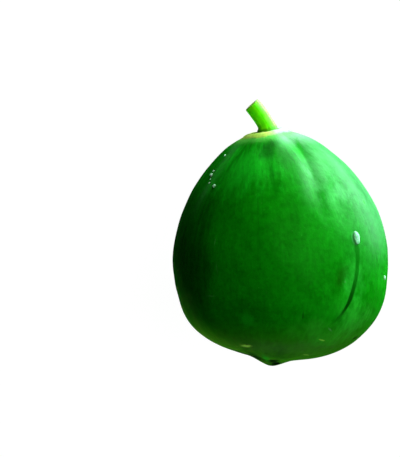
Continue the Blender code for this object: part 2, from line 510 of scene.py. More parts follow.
def cut_level(level):
    """Radius and rise of the cut end at a level, 0 at its edge and 1 in its middle."""
    radius = (STALK_RADIUS - CUT_INSET) * (1.0 - level)
    bulge = CUT_DOME * 0.85 * math.sqrt(1.0 - (1.0 - level) ** 2)
    hollow = 0.35 * float(smooth_step(level, 0.55, 0.9))
    return radius, bulge - hollow


def stalk():
    """The cut stalk, with soft ribs along it and a fibrous cut end."""
    seat_radius, seat_rise = COLLAR[-1]
    x, y, lean = spine(float(dome_height(seat_radius)) + seat_rise)
    middle = np.array([x + STALK_SHIFT, y, 0.0]) + GAP * ahead_at(lean)
    around = angles(STALK_SIDES)
    ribs = ripples(around, STALK_RIPPLES)
    step = STALK_LENGTH / STALK_RINGS
    rings, shares, cut = [], [], []
    for ring in range(STALK_RINGS + 1):
        share = ring / STALK_RINGS
        lean = stalk_lean(share)
        radius = stalk_radius(share) + ribs * (1.0 - 0.5 * share)
        rings.append(stalk_ring(middle, lean, radius, around))
        shares.append(share)
        cut.append(0.0)
        if ring < STALK_RINGS:
            middle = middle + step * ahead_at(lean)
    ahead = ahead_at(lean)
    for level in np.linspace(0.06, 0.97, CUT_RINGS):
        radius, rise = cut_level(level)
        rough = CUT_ROUGH * np.cos(11 * around + 6.0 * level) * (1.0 - level)
        ring = stalk_ring(middle + rise * ahead, lean, radius, around)
        rings.append(ring + rough[:, None] * ahead)
        shares.append(1.0)
        cut.append(1.0)
    piece = closed_piece("papaya_stalk", rings)
    store(piece.data, "along", np.repeat(shares, STALK_SIDES))
    store(piece.data, "cut_end", np.repeat(cut, STALK_SIDES))
    store(piece.data, "stalk_around", facing(np.tile(around, len(rings))))
    return piece


def drop_levels():
    """Height over the skin and share of the full size for each ring of the drop."""
    for share in (0.08, 0.35, 0.7, 0.95, 1.0):
        yield GAP, share
    for ring in range(DROP_RINGS):
        share = ring / DROP_RINGS
        dome = math.sqrt(1.0 - share * share)
        yield GAP + DROP_RIM + (DROP_RISE - DROP_RIM) * share, dome


def sap_drop():
    """The dried drop of sap, a low wrinkled dome just clear of the skin."""
    height, radius = outline(DROP_TURN)
    after = outline(DROP_TURN + SMALL_STEP)
    along_length = math.hypot(after[0] - height, after[1] - radius)
    rings = []
    for level, share in drop_levels():
        ring = []
        for angle in angles(DROP_SIDES):
            narrow = 1.0 - 0.25 * (0.5 - 0.5 * math.cos(angle))
            uneven = 1.0 + 0.03 * math.cos(3 * angle + 0.5) + 0.02 * math.cos(5 * angle)
            right = DROP_HALF_WIDTH * narrow * uneven * share * math.sin(angle)
            along = DROP_HALF_LENGTH * uneven * share * math.cos(angle)
            turn = DROP_TURN + along * SMALL_STEP / along_length
            here, _, _, out = skin_frame(turn, DROP_AROUND + right / radius)
            lift = level + 0.10 * (level > GAP) * math.cos(2.2 * right + 0.9 * along)
            ring.append(here + lift * out)
        rings.append(np.array(ring))
    return closed_piece("sap_drop", rings)


def dot_points(index, height, degrees, half_length, half_width):
    """Points of one low dome of sap: its rings, its top, and one point in the skin."""
    here, right, ahead, out = skin_frame(turn_at(height), math.radians(degrees))
    points = []
    for ring in range(DOT_RINGS):
        tilt = math.pi / 2.0 * ring / DOT_RINGS
        for side in range(DOT_SIDES):
            angle = 2.0 * math.pi * side / DOT_SIDES
            spread = math.cos(tilt) * (1.0 + 0.12 * math.cos(2 * angle + index))
            place = here + half_width * spread * math.sin(angle) * right
            place = place + half_length * spread * math.cos(angle) * ahead
            rise = DOT_RISE * half_width * math.sin(tilt) - DOT_SINK
            points.append(place + rise * out)
    points.append(here + (DOT_RISE * half_width - DOT_SINK) * out)
    points.append(here - DOT_ROOT * out)
    return points


def dot_faces(start):
    """Faces of one dome of sap whose points begin at a number."""
    top = start + DOT_RINGS * DOT_SIDES
    last = top - DOT_SIDES
    for side in range(DOT_SIDES):
        after = (side + 1) % DOT_SIDES
        for low in range(start, last, DOT_SIDES):
            high = low + DOT_SIDES
            yield low + side, low + after, high + after, high + side
        yield last + side, last + after, top
        yield start + after, start + side, top + 1


def sap_dots():
    """All the small dots of sap as one piece of low domes that sit on the skin."""
    points, faces = [], []
    for index, dot in enumerate(SAP_DOTS):
        faces.extend(dot_faces(len(points)))
        points.extend(dot_points(index, *dot))
    return new_piece("sap_dots", points, faces)


# Materials.


class Nodes:
    """Short ways to make and join the nodes of one material."""

    def __init__(self, name):
        self.material = bpy.data.materials.new(name)
        self.material.use_nodes = True
        self.tree = self.material.node_tree
        self.shader = self.tree.nodes["Principled BSDF"]

    def add(self, kind, **values):
        """A node with its own properties set."""
        node = self.tree.nodes.new(kind)
        for name, value in values.items():
            setattr(node, name, value)
        return node

    def put(self, socket, value):
        """Join an output to an input, or set the input to a number or colour."""
        if isinstance(value, bpy.types.NodeSocket):
            self.tree.links.new(value, socket)
        elif isinstance(value, (tuple, list)) and len(value) == 3 and socket.type == "RGBA":
            socket.default_value = (*value, 1.0)
        else:
            socket.default_value = value

    def place(self):
        """The place on the piece, in metres."""
        return self.add("ShaderNodeTexCoord").outputs["Object"]

    def read(self, name, output="Fac"):
        """A value kept on the mesh."""
        return self.add("ShaderNodeAttribute", attribute_name=name).outputs[output]

    def math(self, operation, first, second=0.0, clamp=False):
        """One sum of numbers."""
        node = self.add("ShaderNodeMath", operation=operation, use_clamp=clamp)
        self.put(node.inputs[0], first)
        self.put(node.inputs[1], second)
        return node.outputs[0]

    def product(self, first, *others):
        """Numbers multiplied together."""
        for other in others:
            first = self.math("MULTIPLY", first, other)
        return first

    def centred(self, noise, size):
        """Noise moved to lie about zero, and scaled."""
        return self.product(self.math("SUBTRACT", noise, 0.5), size)

    def vector(self, operation, first, second=(0.0, 0.0, 0.0), output="Vector"):
        """One sum of vectors."""
        node = self.add("ShaderNodeVectorMath", operation=operation)
        self.put(node.inputs[0], first)
        self.put(node.inputs[1], second)
        return node.outputs[output]

    def scaled(self, vector, scale):
        """A vector with each axis scaled."""
        return self.vector("MULTIPLY", vector, scale)

    def split(self, vector):
        """The first two parts of a vector."""
        node = self.add("ShaderNodeSeparateXYZ")
        self.put(node.inputs[0], vector)
        return node.outputs[0], node.outputs[1]

    def unrolled(self, around, size, along):
        """A place round a piece and along it, in metres, for noise that runs along."""
        lift = self.add("ShaderNodeCombineXYZ")
        self.put(lift.inputs["Z"], along)
        place = self.vector("ADD", self.scaled(around, (size, size, 0.0)), lift.outputs[0])
        return self.scaled(place, (MM, MM, MM))

    def ramp(self, value, start, end, low=0.0, high=1.0, smooth=True):
        """A number eased from low to high while the value goes from start to end."""
        node = self.add("ShaderNodeMapRange")
        node.interpolation_type = "SMOOTHSTEP" if smooth else "LINEAR"
        self.put(node.inputs["Value"], value)
        self.put(node.inputs["From Min"], start)
        self.put(node.inputs["From Max"], end)
        self.put(node.inputs["To Min"], low)
        self.put(node.inputs["To Max"], high)
        return node.outputs["Result"]

    def noise(self, vector, scale, detail=3.0, roughness=0.5, distortion=0.0):
        """Noise between 0 and 1."""
        node = self.add("ShaderNodeTexNoise")
        self.put(node.inputs["Vector"], vector)
        self.put(node.inputs["Scale"], scale)
        self.put(node.inputs["Detail"], detail)
        self.put(node.inputs["Roughness"], roughness)
        self.put(node.inputs["Distortion"], distortion)
        return node.outputs["Fac"]

    def cells(self, vector, scale):
        """Distance to the nearest of many scattered points."""
        node = self.add("ShaderNodeTexVoronoi")
        self.put(node.inputs["Vector"], vector)
        self.put(node.inputs["Scale"], scale)
        return node.outputs["Distance"]

    def mix(self, share, first, second, blend="MIX"):
        """Two colours mixed."""
        node = self.add("ShaderNodeMix", data_type="RGBA", blend_type=blend)
        self.put(node.inputs[0], share)
        self.put(node.inputs[6], first)
        self.put(node.inputs[7], second)
        return node.outputs[2]

    def paint(self, under, colour, *shares):
        """A colour laid over another, as much as all the shares multiplied say."""
        return self.mix(self.product(*shares), under, colour)

    def bump(self, height, depth, normal=None):
        """A bump with a depth in millimetres, on top of another one if there is one."""
        node = self.add("ShaderNodeBump")
        self.put(node.inputs["Height"], height)
        self.put(node.inputs["Distance"], depth * MM)
        self.put(node.inputs["Strength"], 1.0)
        if normal is not None:
            self.put(node.inputs["Normal"], normal)
        return node.outputs["Normal"]

    def spot(self, place, turn, degrees, half_length, half_width, lean=0.0):
        """Distance from a spot on the skin, 1 at the spot's oval edge."""
        here, right, ahead, out = skin_frame(turn, math.radians(degrees))
        axes = Matrix((Vector(right), Vector(ahead), Vector(out))).transposed()
        axes = axes @ Matrix.Rotation(math.radians(lean), 3, "Z")
        node = self.add("ShaderNodeMapping", vector_type="TEXTURE")
        self.put(node.inputs["Vector"], place)
        node.inputs["Location"].default_value = laid_down(here)
        node.inputs["Rotation"].default_value = axes.to_euler("XYZ")
        deep = max(half_length, half_width)
        node.inputs["Scale"].default_value = [
            half_width * MM, half_length * MM, deep * MM
        ]
        return self.vector("LENGTH", node.outputs["Vector"], output="Value")


# Colours of the skin, in linear light.
GREENS = ((0.0012, 0.20, 0.0007), (0.0022, 0.275, 0.0012))
PALE_MOTTLE = (0.005, 0.36, 0.004)
DARK_MOTTLE = (0.0006, 0.125, 0.0003)
PALE_STREAK = (0.006, 0.38, 0.005)
DARK_STREAK = (0.0006, 0.11, 0.0003)
TIP_YELLOW = (0.050, 0.32, 0.0015)
TIP_RAY = (0.12, 0.40, 0.02)
TIP_SCAR = (0.020, 0.026, 0.004)
# Painted shade in the furrows, and painted highlights on the ridges and the banks beside
# them.
FURROW_SHADE_GREEN = (0.001, 0.15, 0.001)
RIDGE_HIGHLIGHT_GREEN = (0.11, 0.47, 0.14)
BANK_HIGHLIGHT_GREEN = (0.08, 0.70, 0.10)
PALE_CROWN = (0.011, 0.46, 0.016)
DARK_CROWN = (0.0008, 0.13, 0.0009)
# Painted shade on the left lobe.
LEFT_LOBE_SHADE = (0.0003, 0.045, 0.0002)
# Painted sheen on the right shoulder, and pale and grey far right.
SHOULDER_SHEEN_GREENS = ((0.006, 0.46, 0.012), (0.050, 0.46, 0.078))
FAR_RIGHT_SHEEN_GREEN = (0.12, 0.36, 0.17)
# Painted highlight: a pale wash on the right of the ring.
RING_HIGHLIGHT_WASH = (0.34, 0.84, 0.42)
RING_HALO = (0.15, 0.74, 0.10)
RING_CREAMS = ((0.50, 0.90, 0.10), (0.66, 1.0, 0.18))
# Painted highlight: the ring's right side turns mint.
RING_HIGHLIGHT_MINT = (0.55, 0.98, 0.60)
RING_FOOT_LINE = (0.22, 0.26, 0.03)
STALK_SEAM = (0.05, 0.12, 0.008)
PORE_GREEN = (0.05, 0.40, 0.04)
RUN_EDGE = (0.02, 0.38, 0.02)
RUN_GREENS = ((0.0004, 0.15, 0.0001), (0.0006, 0.055, 0.0002))
WET_GREEN = (0.10, 0.60, 0.16)
DARK = (0.001, 0.035, 0.001)
PALE = (0.10, 0.42, 0.10)
OLIVE = (0.006, 0.10, 0.001)
YELLOW = (0.36, 1.0, 0.09)
FRESH = (0.006, 0.42, 0.008)
NIGHT = (0.0004, 0.012, 0.0004)

# Marks on the skin, some of them painted shade at the nub and along a furrow: height,
# angle, half length, half width, lean, colour and strength.
SCARS_AND_SHADE_MARKS = (
    (81.7, -39.2, 2.6, 0.5, -6.0, PALE, 0.30),
    (65.0, -37.2, 4.2, 0.5, 5.0, PALE, 0.22),
    (45.0, -43.0, 0.5, 4.0, 4.0, PALE, 0.35),
    (57.0, 30.2, 8.0, 4.2, -24.0, OLIVE, 0.55),
    (53.2, 32.2, 0.8, 0.7, 0.0, PALE, 0.35),
    (96.3, 59.8, 2.4, 1.9, 0.0, PALE, 0.6),
    (96.3, 59.8, 1.5, 1.1, 0.0, FRESH, 0.9),
    (34.5, 9.0, 3.6, 0.6, 0.0, DARK, 0.55),
    (30.1, -21.2, 5.0, 5.0, 0.0, FRESH, 0.55),
    (10.9, -23.0, 1.7, 4.4, 14.0, YELLOW, 1.0),
    (25.4, 28.4, 0.6, 2.6, -40.0, PALE, 0.6),
    (18.7, 27.2, 0.7, 2.8, -20.0, YELLOW, 0.6),
    (7.6, 26.8, 0.9, 2.6, -20.0, YELLOW, 0.6),
    (18.4, 57.5, 1.3, 3.0, 25.0, NIGHT, 0.9),
    # Painted shade along the main furrow near the crown, a deeper green among the pale
    # highlights.
    (132.0, 38.0, 11.0, 2.0, -4.0, FRESH, 0.85),
    # Painted shade on the nub's left flank.
    (0.8, -38.0, 9.0, 5.0, 0.0, NIGHT, 0.85),
    (1.5, -10.5, 15.0, 2.6, 0.0, FRESH, 0.75),
    # Painted shade in the hollows at the nub's tip, in this mark and the next.
    (0.5, 3.0, 7.0, 3.8, 0.0, NIGHT, 1.0),
    (0.1, 20.0, 5.0, 4.0, 0.0, NIGHT, 1.0),
)

# Wide soft patches of tone, some of them painted highlights and painted shade, from the
# same kinds of values.
TONE_AND_LIGHT_PATCHES = (
    # Painted highlight on the crown's left, where the skin faces the light.
    (127.0, -26.0, 17.0, 22.0, -8.0, (0.0070, 0.52, 0.012), 0.85),
    # Painted shade in the dimple, in this patch and the next.
    (138.0, 5.0, 5.0, 4.5, 0.0, (0.0006, 0.11, 0.0008), 0.75),
    (134.0, -4.0, 7.0, 5.0, 8.0, (0.0006, 0.10, 0.0008), 0.75),
    (120.0, -3.0, 13.0, 1.6, 4.0, (0.0010, 0.16, 0.0012), 0.5),
    # Painted shade on the left side of the ridge beside the main furrow.
    (128.0, 14.0, 9.0, 6.0, -12.0, (0.0008, 0.13, 0.0010), 0.5),
    # Painted highlight on the bank right of the main furrow.
    (104.0, 41.5, 6.0, 5.0, 0.0, (0.16, 0.75, 0.22), 0.4),
    (66.0, 12.0, 16.0, 26.0, 0.0, (0.004, 0.40, 0.004), 0.4),
    (43.0, 33.0, 10.0, 8.0, 0.0, (0.014, 0.50, 0.014), 0.45),
    (38.0, 39.0, 10.0, 8.0, 0.0, (0.020, 0.50, 0.022), 0.45),
    (36.2, -16.2, 10.0, 16.0, 0.0, (0.0008, 0.11, 0.0004), 0.45),
    (38.0, 26.0, 13.0, 15.0, 0.0, (0.008, 0.45, 0.008), 0.5),
    (24.0, 20.0, 9.0, 15.0, 0.0, (0.030, 0.48, 0.020), 0.5),
    (44.0, 7.0, 12.0, 14.0, 0.0, (0.003, 0.36, 0.003), 0.4),
    (55.0, 38.5, 13.0, 9.0, 0.0, (0.030, 0.56, 0.040), 0.4),
    (31.0, 42.0, 11.0, 12.0, 0.0, (0.030, 0.56, 0.028), 0.55),
    (19.0, 32.0, 7.0, 14.0, 0.0, (0.030, 0.48, 0.015), 0.45),
    # Painted highlights right of the main furrow, in this patch and the next.
    (119.0, 37.5, 15.0, 8.0, -8.0, (0.16, 0.70, 0.21), 0.38),
    (103.0, 35.0, 8.0, 5.5, 0.0, (0.07, 0.62, 0.10), 0.65),
    (5.0, 4.0, 14.0, 9.0, 0.0, (0.0008, 0.10, 0.0006), 0.6),
    (3.0, -22.0, 14.0, 7.0, 0.0, (0.0010, 0.09, 0.0004), 0.6),
    # Painted shade on the left side of the nub.
    (1.2, -42.0, 13.0, 11.0, 0.0, (0.0010, 0.014, 0.0005), 0.95),
)

# The run of sap: it follows the skin down from the drop, curving in towards the front.
RUN_TOP = 75.0
RUN_END = 26.0
RUN_START_ANGLE = math.radians(41.2)
RUN_CURVE = math.radians(14.2)
RUN_POWER = 2.3
RUN_HALF_WIDTH = 1.3
RUN_WANDER = 1.2

# The wet ring round the drop: angle and half sizes. The drop's fold: the turn past its
# middle, angle, half sizes and lean.
WET_RING = (41.4, 4.2, 3.0)
FOLD_TURN = 0.006
FOLD = (40.9, 1.4, 0.3, 4.0)


class SkinPlace:
    """Where a point of the skin is, and the noise that several colours share."""

    def __init__(self, n):
        self.place = n.place()
        self.around = n.read("skin_around", "Vector")
        self.right, self.up = n.split(self.around)
        self.height = n.read("skin_height")
        self.radius = n.read("skin_radius")
        self.unrolled = n.unrolled(self.around, 60.0, self.height)
        self.patches = n.noise(self.place, 28.0, 3.0, 0.55)
        self.mottle = n.noise(self.place, 230.0, 4.0, 0.6)
        self.streaks = n.noise(n.scaled(self.unrolled, (1.0, 1.0, 0.06)), 330.0, 4.0, 0.65)


def mottled_green(n, s):
    """Green that varies over the whole fruit, in patches, mottling and long streaks."""
    colour = n.mix(n.ramp(s.patches, 0.3, 0.7), *GREENS)
    colour = n.mix(n.ramp(s.mottle, 0.40, 0.72, 0.0, 0.32), colour, PALE_MOTTLE)
    colour = n.mix(n.ramp(s.mottle, 0.50, 0.25, 0.0, 0.36), colour, DARK_MOTTLE)
    colour = n.mix(n.ramp(s.streaks, 0.52, 0.76, 0.0, 0.40), colour, PALE_STREAK)
    return n.mix(n.ramp(s.streaks, 0.46, 0.22, 0.0, 0.36), colour, DARK_STREAK)


def blossom_end(n, s, colour):
    """A yellower blossom end, with pale lines that run to the nub and a scar on it."""
    colour = n.paint(colour, TIP_YELLOW, n.ramp(s.height, 34.0, 2.0), 0.6)
    low = n.ramp(s.height, 60.0, 20.0)
    rays = n.noise(n.scaled(s.unrolled, (1.0, 1.0, 0.02)), 260.0, 2.0, 0.5)
    rays = n.ramp(rays, 0.55, 0.75, 0.0, 0.5)
    colour = n.paint(colour, TIP_RAY, n.ramp(s.radius, 30.0, 6.0), low, rays)
    return n.paint(colour, TIP_SCAR, n.ramp(s.radius, 5.2, 3.4), low, 0.75)


def furrows(n, s, colour):
    """Painted shade in the furrows, and painted highlights on the ridge and the bank beside
    each, the bank only on the right side.
    """
    colour = n.paint(colour, FURROW_SHADE_GREEN, n.read("furrow"), 0.5)
    high = n.ramp(s.height, 92.0, 112.0)
    colour = n.paint(colour, RIDGE_HIGHLIGHT_GREEN, n.read("ridge"), high, 0.35)
    return n.paint(colour, BANK_HIGHLIGHT_GREEN, n.read("bank"), n.ramp(s.right, 0.0, 0.4), 0.4)


def streaked_crown(n, s, colour):
    """Broken streaks that run down from the stalk over the crown."""
    crown = n.ramp(s.height, 104.0, 128.0)
    broken = n.noise(n.scaled(s.unrolled, (1.0, 1.0, 0.45)), 190.0, 5.0, 0.68, 0.5)
    colour = n.paint(colour, PALE_CROWN, crown, n.ramp(broken, 0.50, 0.69, 0.0, 0.72))
    return n.paint(colour, DARK_CROWN, crown, n.ramp(broken, 0.48, 0.31, 0.0, 0.72))


def painted_shade_left_lobe(n, s, colour):
    """Painted shade makes the lobe on the left a darker green."""
    side = n.math("ADD", s.right, n.ramp(s.patches, 0.3, 0.7, -0.05, 0.05))
    share = n.product(
        n.ramp(side, -0.60, -0.74),
        n.ramp(s.height, 118.0, 104.0),
        n.ramp(s.height, 15.0, 45.0),
        n.ramp(s.streaks, 0.35, 0.65, 1.15, 0.75),
        n.ramp(s.up, -0.3, 0.2),
    )
    return n.paint(colour, LEFT_LOBE_SHADE, share, 0.5)


def painted_sheen_shoulder(n, s, colour):
    """Painted sheen: the shoulder gets paler to the right, in clouds, and pale and grey far
    right.
    """
    share = n.product(
        n.ramp(s.right, 0.05, 0.8),
        n.ramp(s.height, 45.0, 120.0),
        n.ramp(n.noise(s.place, 75.0, 4.0, 0.6), 0.25, 0.75, 0.38, 0.78),
        n.ramp(s.mottle, 0.32, 0.60, 0.8, 1.06),
    )
    green = n.mix(n.ramp(s.right, 0.42, 0.80), *SHOULDER_SHEEN_GREENS)
    colour = n.mix(share, colour, green)
    far_right_sheen = n.product(n.ramp(s.right, 0.70, 0.98), n.ramp(s.height, 55.0, 85.0))
    return n.paint(colour, FAR_RIGHT_SHEEN_GREEN, far_right_sheen, 0.35)


def pale_ring(n, s, colour):
    """The pale ring round the stalk and the skin that fades into it, and its share, with a
    painted highlight on their right side.
    """
    top = n.ramp(s.height, 80.0, 100.0)
    reach = n.math("ADD", s.radius, n.centred(s.mottle, 6.0))
    # Painted highlight: a pale mint wash over the skin on the right side of the ring.
    highlight_wash = n.product(top, n.ramp(reach, 35.0, 17.0), n.ramp(s.right, 0.12, 0.62))
    colour = n.paint(colour, RING_HIGHLIGHT_WASH, highlight_wash, 0.8)
    colour = n.paint(colour, RING_HALO, top, n.ramp(reach, 24.0, 15.5), 0.65)
    ring = n.product(top, n.ramp(reach, 16.8, 14.2))
    cream = n.mix(n.ramp(s.mottle, 0.35, 0.7), *RING_CREAMS)
    # Painted highlight: the ring turns mint on its right side.
    cream = n.mix(n.ramp(s.right, 0.0, 0.7), cream, RING_HIGHLIGHT_MINT)
    colour = n.mix(ring, colour, cream)
    # A darker olive line at the foot of the ring, on its left side only.
    foot_line = n.math("ABSOLUTE", n.math("SUBTRACT", reach, 15.1))
    foot_line = n.product(top, n.ramp(foot_line, 0.6, 0.1), n.ramp(s.right, 0.4, -0.1))
    colour = n.paint(colour, RING_FOOT_LINE, foot_line, 0.35)
    colour = n.paint(colour, STALK_SEAM, top, n.ramp(s.radius, 10.0, 8.6), 0.85)
    return colour, ring


def pores(n, s, colour):
    """Tiny paler pores, here and there."""
    size = n.ramp(n.noise(s.place, 150.0, 1.0), 0.3, 0.7, 0.10, 0.19)
    pore = n.math("LESS_THAN", n.cells(s.place, 460.0), size)
    where = n.ramp(n.noise(s.place, 60.0, 2.0), 0.5, 0.65)
    return n.paint(colour, PORE_GREEN, pore, where, 0.30)


def spots(n, s, colour, table, uneven, outer, inner):
    """Ovals of colour with uneven edges that fade from an outer to an inner edge."""
    for height, degrees, half_length, half_width, lean, look, strength in table:
        turn = turn_at(height)
        away = n.spot(s.place, turn, degrees, half_length, half_width, lean)
        share = n.ramp(n.math("ADD", away, uneven), outer, inner, 0.0, strength)
        colour = n.mix(share, colour, look)
    return colour


def sap_run(n, s):
    """Share of the dark run at a point, and of the paler edge beside it."""
    down = n.ramp(s.height, RUN_TOP, RUN_END, smooth=False)
    curve = n.product(n.math("POWER", down, RUN_POWER), RUN_CURVE)
    angle = n.math("SUBTRACT", RUN_START_ANGLE, curve)
    first = n.product(s.right, n.math("COSINE", angle))
    second = n.product(s.up, n.math("SINE", angle))
    across = n.product(n.math("SUBTRACT", first, second), s.radius)
    wander = n.centred(n.noise(s.place, 120.0, 2.0), RUN_WANDER)
    away = n.math("ABSOLUTE", n.math("ADD", across, wander))
    half = n.product(
        n.ramp(n.noise(s.place, 90.0, 2.0), 0.3, 0.7, 0.75, 1.25),
        RUN_HALF_WIDTH,
        n.ramp(down, 0.02, 0.25, 1.4, 1.0),
    )
    inside = n.math("DIVIDE", away, half)
    ends = n.product(n.ramp(down, 0.0, 0.02), n.ramp(down, 1.0, 0.72))
    ends = n.product(ends, n.ramp(s.up, 0.2, 0.4))
    deep = n.ramp(down, 0.3, 0.75, 0.8, 0.97)
    run = n.product(ends, deep, n.ramp(inside, 1.4, 0.6))
    return run, n.product(ends, n.ramp(inside, 3.0, 1.4))


def skin_surface(n, s, ring, run):
    """Wax with a thin bloom in clouds, and fine bumps."""
    wax = n.ramp(n.noise(s.place, 55.0, 4.0, 0.6), 0.3, 0.75, 0.31, 0.40)
    wax = n.math("ADD", wax, n.ramp(s.mottle, 0.3, 0.7, -0.03, 0.04))
    wax = n.math("ADD", wax, n.product(ring, 0.18), clamp=True)
    n.put(n.shader.inputs["Roughness"], wax)
    surface = n.bump(n.noise(s.place, 190.0, 3.0, 0.5), 0.24)
    surface = n.bump(s.streaks, 0.08, surface)
    surface = n.bump(n.noise(s.place, 1500.0, 3.0, 0.6), 0.02, surface)
    surface = n.bump(n.math("SUBTRACT", 1.0, run), 0.04, surface)
    n.put(n.shader.inputs["Normal"], surface)
    n.shader.inputs["IOR"].default_value = 1.45
    n.shader.inputs["Specular IOR Level"].default_value = 0.06


def skin_material():
    """Waxy green skin: mottled, paler at the ring, with painted shade in the furrows and on
    the left lobe, and painted highlights and sheen on the right.
    """
    n = Nodes("papaya_skin")
    s = SkinPlace(n)
    colour = mottled_green(n, s)
    colour = blossom_end(n, s, colour)
    colour = furrows(n, s, colour)
    colour = streaked_crown(n, s, colour)
    colour = painted_shade_left_lobe(n, s, colour)
    colour = painted_sheen_shoulder(n, s, colour)
    colour, ring = pale_ring(n, s, colour)
    colour = pores(n, s, colour)

    # Soft patches with cloudy edges, some of them painted highlights and painted shade, and
    # a fine grain over all of it.
    drift = n.noise(n.scaled(s.unrolled, (1.0, 1.0, 0.6)), 180.0, 5.0, 0.6)
    colour = spots(n, s, colour, TONE_AND_LIGHT_PATCHES, n.centred(drift, 2.8), 1.5, 0.1)
    grain = n.noise(n.scaled(s.unrolled, (1.0, 1.0, 0.7)), 480.0, 4.0, 0.7)
    colour = n.mix(1.0, colour, n.ramp(grain, 0.3, 0.7, 0.87, 1.11), "MULTIPLY")

    # Scars, smudges and small spots with ragged edges, and painted shade at the nub and
    # along a furrow.
    ragged = n.centred(n.noise(s.place, 900.0, 2.0), 0.9)
    colour = spots(n, s, colour, SCARS_AND_SHADE_MARKS, ragged, 1.25, 0.35)

    # The dark run below the drop of sap, and a wet ring round the drop.
    run, edge = sap_run(n, s)
    colour = n.paint(colour, RUN_EDGE, edge, 0.12)
    run_green = n.mix(n.ramp(s.height, 64.0, 40.0), *RUN_GREENS)
    colour = n.mix(run, colour, run_green)
    away = n.math("ADD", n.spot(s.place, DROP_TURN, *WET_RING), n.product(ragged, 0.3))
    colour = n.mix(n.ramp(away, 1.15, 0.9, 0.0, 0.4), colour, WET_GREEN)
    n.put(n.shader.inputs["Base Color"], colour)
    skin_surface(n, s, ring, run)
    return n.material


def pith(n, place):
    """Pale pith of the cut end, with darker vessels."""
    pale = n.ramp(n.noise(place, 1300.0, 2.0), 0.35, 0.65)
    colour = n.mix(pale, (0.24, 0.46, 0.08), (0.44, 0.64, 0.20))
    vessels = n.math("LESS_THAN", n.cells(place, 1500.0), 0.22)
    return n.paint(colour, (0.16, 0.20, 0.05), vessels, 0.6)


def stalk_material():
    """Fresh yellow-green stalk with fine fibres, a dark foot and a pale cut end."""
    n = Nodes("papaya_stalk")
    place = n.place()
    around = n.read("stalk_around", "Vector")
    along = n.read("along")
    fibres = n.noise(n.unrolled(around, 5.5, n.product(along, 3.5)), 1100.0, 3.0, 0.6)
    mottle = n.noise(place, 420.0, 3.0, 0.55)
    colour = n.mix(n.ramp(mottle, 0.3, 0.7), (0.13, 0.90, 0.001), (0.20, 0.96, 0.004))
    colour = n.mix(n.ramp(fibres, 0.5, 0.8, 0.0, 0.2), colour, (0.26, 0.92, 0.04))
    colour = n.mix(n.ramp(fibres, 0.45, 0.2, 0.0, 0.12), colour, (0.03, 0.46, 0.002))

    # A painted highlight makes it paler on its right side; it is darker at its foot and at
    # the edge of the cut.
    side = n.math("ADD", n.split(around)[0], n.centred(n.noise(place, 260.0, 2.0), 0.5))
    colour = n.mix(n.ramp(side, 0.15, 1.0, 0.0, 0.6), colour, (0.42, 0.98, 0.20))
    foot = n.ramp(n.math("ADD", along, n.centred(fibres, 0.10)), 0.13, 0.05)
    colour = n.paint(colour, (0.015, 0.30, 0.001), foot, 0.6)
    colour = n.paint(colour, (0.16, 0.50, 0.03), n.ramp(along, 0.955, 1.0), 0.35)
    cut = n.math("GREATER_THAN", n.read("cut_end"), 0.5)
    colour = n.mix(cut, colour, pith(n, place))
    n.put(n.shader.inputs["Base Color"], colour)
    n.put(n.shader.inputs["Roughness"], n.ramp(mottle, 0.3, 0.7, 0.42, 0.58))
    surface = n.bump(fibres, 0.05)
    surface = n.bump(n.noise(place, 2600.0, 2.0), 0.03, surface)
    n.put(n.shader.inputs["Normal"], surface)
    n.shader.inputs["Specular IOR Level"].default_value = 0.3
    n.shader.inputs["Subsurface Weight"].default_value = 0.8
    n.shader.inputs["Subsurface Scale"].default_value = 0.008
    n.shader.inputs["Subsurface Radius"].default_value = (0.6, 1.0, 0.15)
    return n.material


def sap_material(name, dark, light, stain, wrinkle):
    """Dried milky sap: whitish with a mint tinge, glossy and a little wrinkled."""
    n = Nodes(name)
    place = n.place()
    clouds = n.noise(place, 480.0, 3.0, 0.6)
    colour = n.mix(n.ramp(clouds, 0.3, 0.7), dark, light)
    stains = n.noise(place, 900.0, 2.0, 0.6)
    colour = n.mix(n.ramp(stains, 0.58, 0.75, 0.0, stain), colour, (0.05, 0.30, 0.08))
    fold = n.spot(place, DROP_TURN + FOLD_TURN, *FOLD)
    colour = n.mix(n.ramp(fold, 1.3, 0.5, 0.0, 0.6), colour, (0.02, 0.16, 0.05))
    n.put(n.shader.inputs["Base Color"], colour)
    n.put(n.shader.inputs["Roughness"], n.ramp(clouds, 0.3, 0.7, 0.28, 0.45))
    wrinkles = n.noise(place, 700.0, 3.0, 0.6, 0.6)
    n.put(n.shader.inputs["Normal"], n.bump(wrinkles, wrinkle))
    n.shader.inputs["Specular IOR Level"].default_value = 0.25
    n.shader.inputs["Subsurface Weight"].default_value = 0.7
    n.shader.inputs["Subsurface Scale"].default_value = 0.003
    n.shader.inputs["Subsurface Radius"].default_value = (0.7, 1.0, 0.8)
    return n.material


def floor_material():
    """A plain pale floor, bright enough to stand for a white studio sweep."""
    n = Nodes("floor")
    shade = n.ramp(n.noise(n.place(), 3.0, 2.0), 0.3, 0.7, 0.97, 1.0)
    n.put(n.shader.inputs["Base Color"], (0.10, 0.10, 0.10))
    n.put(n.shader.inputs["Emission Color"], (1.0, 1.0, 1.0))
    n.put(n.shader.inputs["Emission Strength"], shade)
    n.shader.inputs["Roughness"].default_value = 0.9
    n.shader.inputs["Specular IOR Level"].default_value = 0.0
    return n.material


# The stage, in metres.
FLOOR_HALF = 3.0
FLOOR_DROP = 0.0003
AIM = (0.0, 0.013, 0.066)
WORLD_STRENGTH = 0.008
WHITE = (1.0, 1.0, 1.0)
COOL = (0.84, 1.0, 1.12)
COOL_GLOSS = (0.80, 1.0, 1.2)

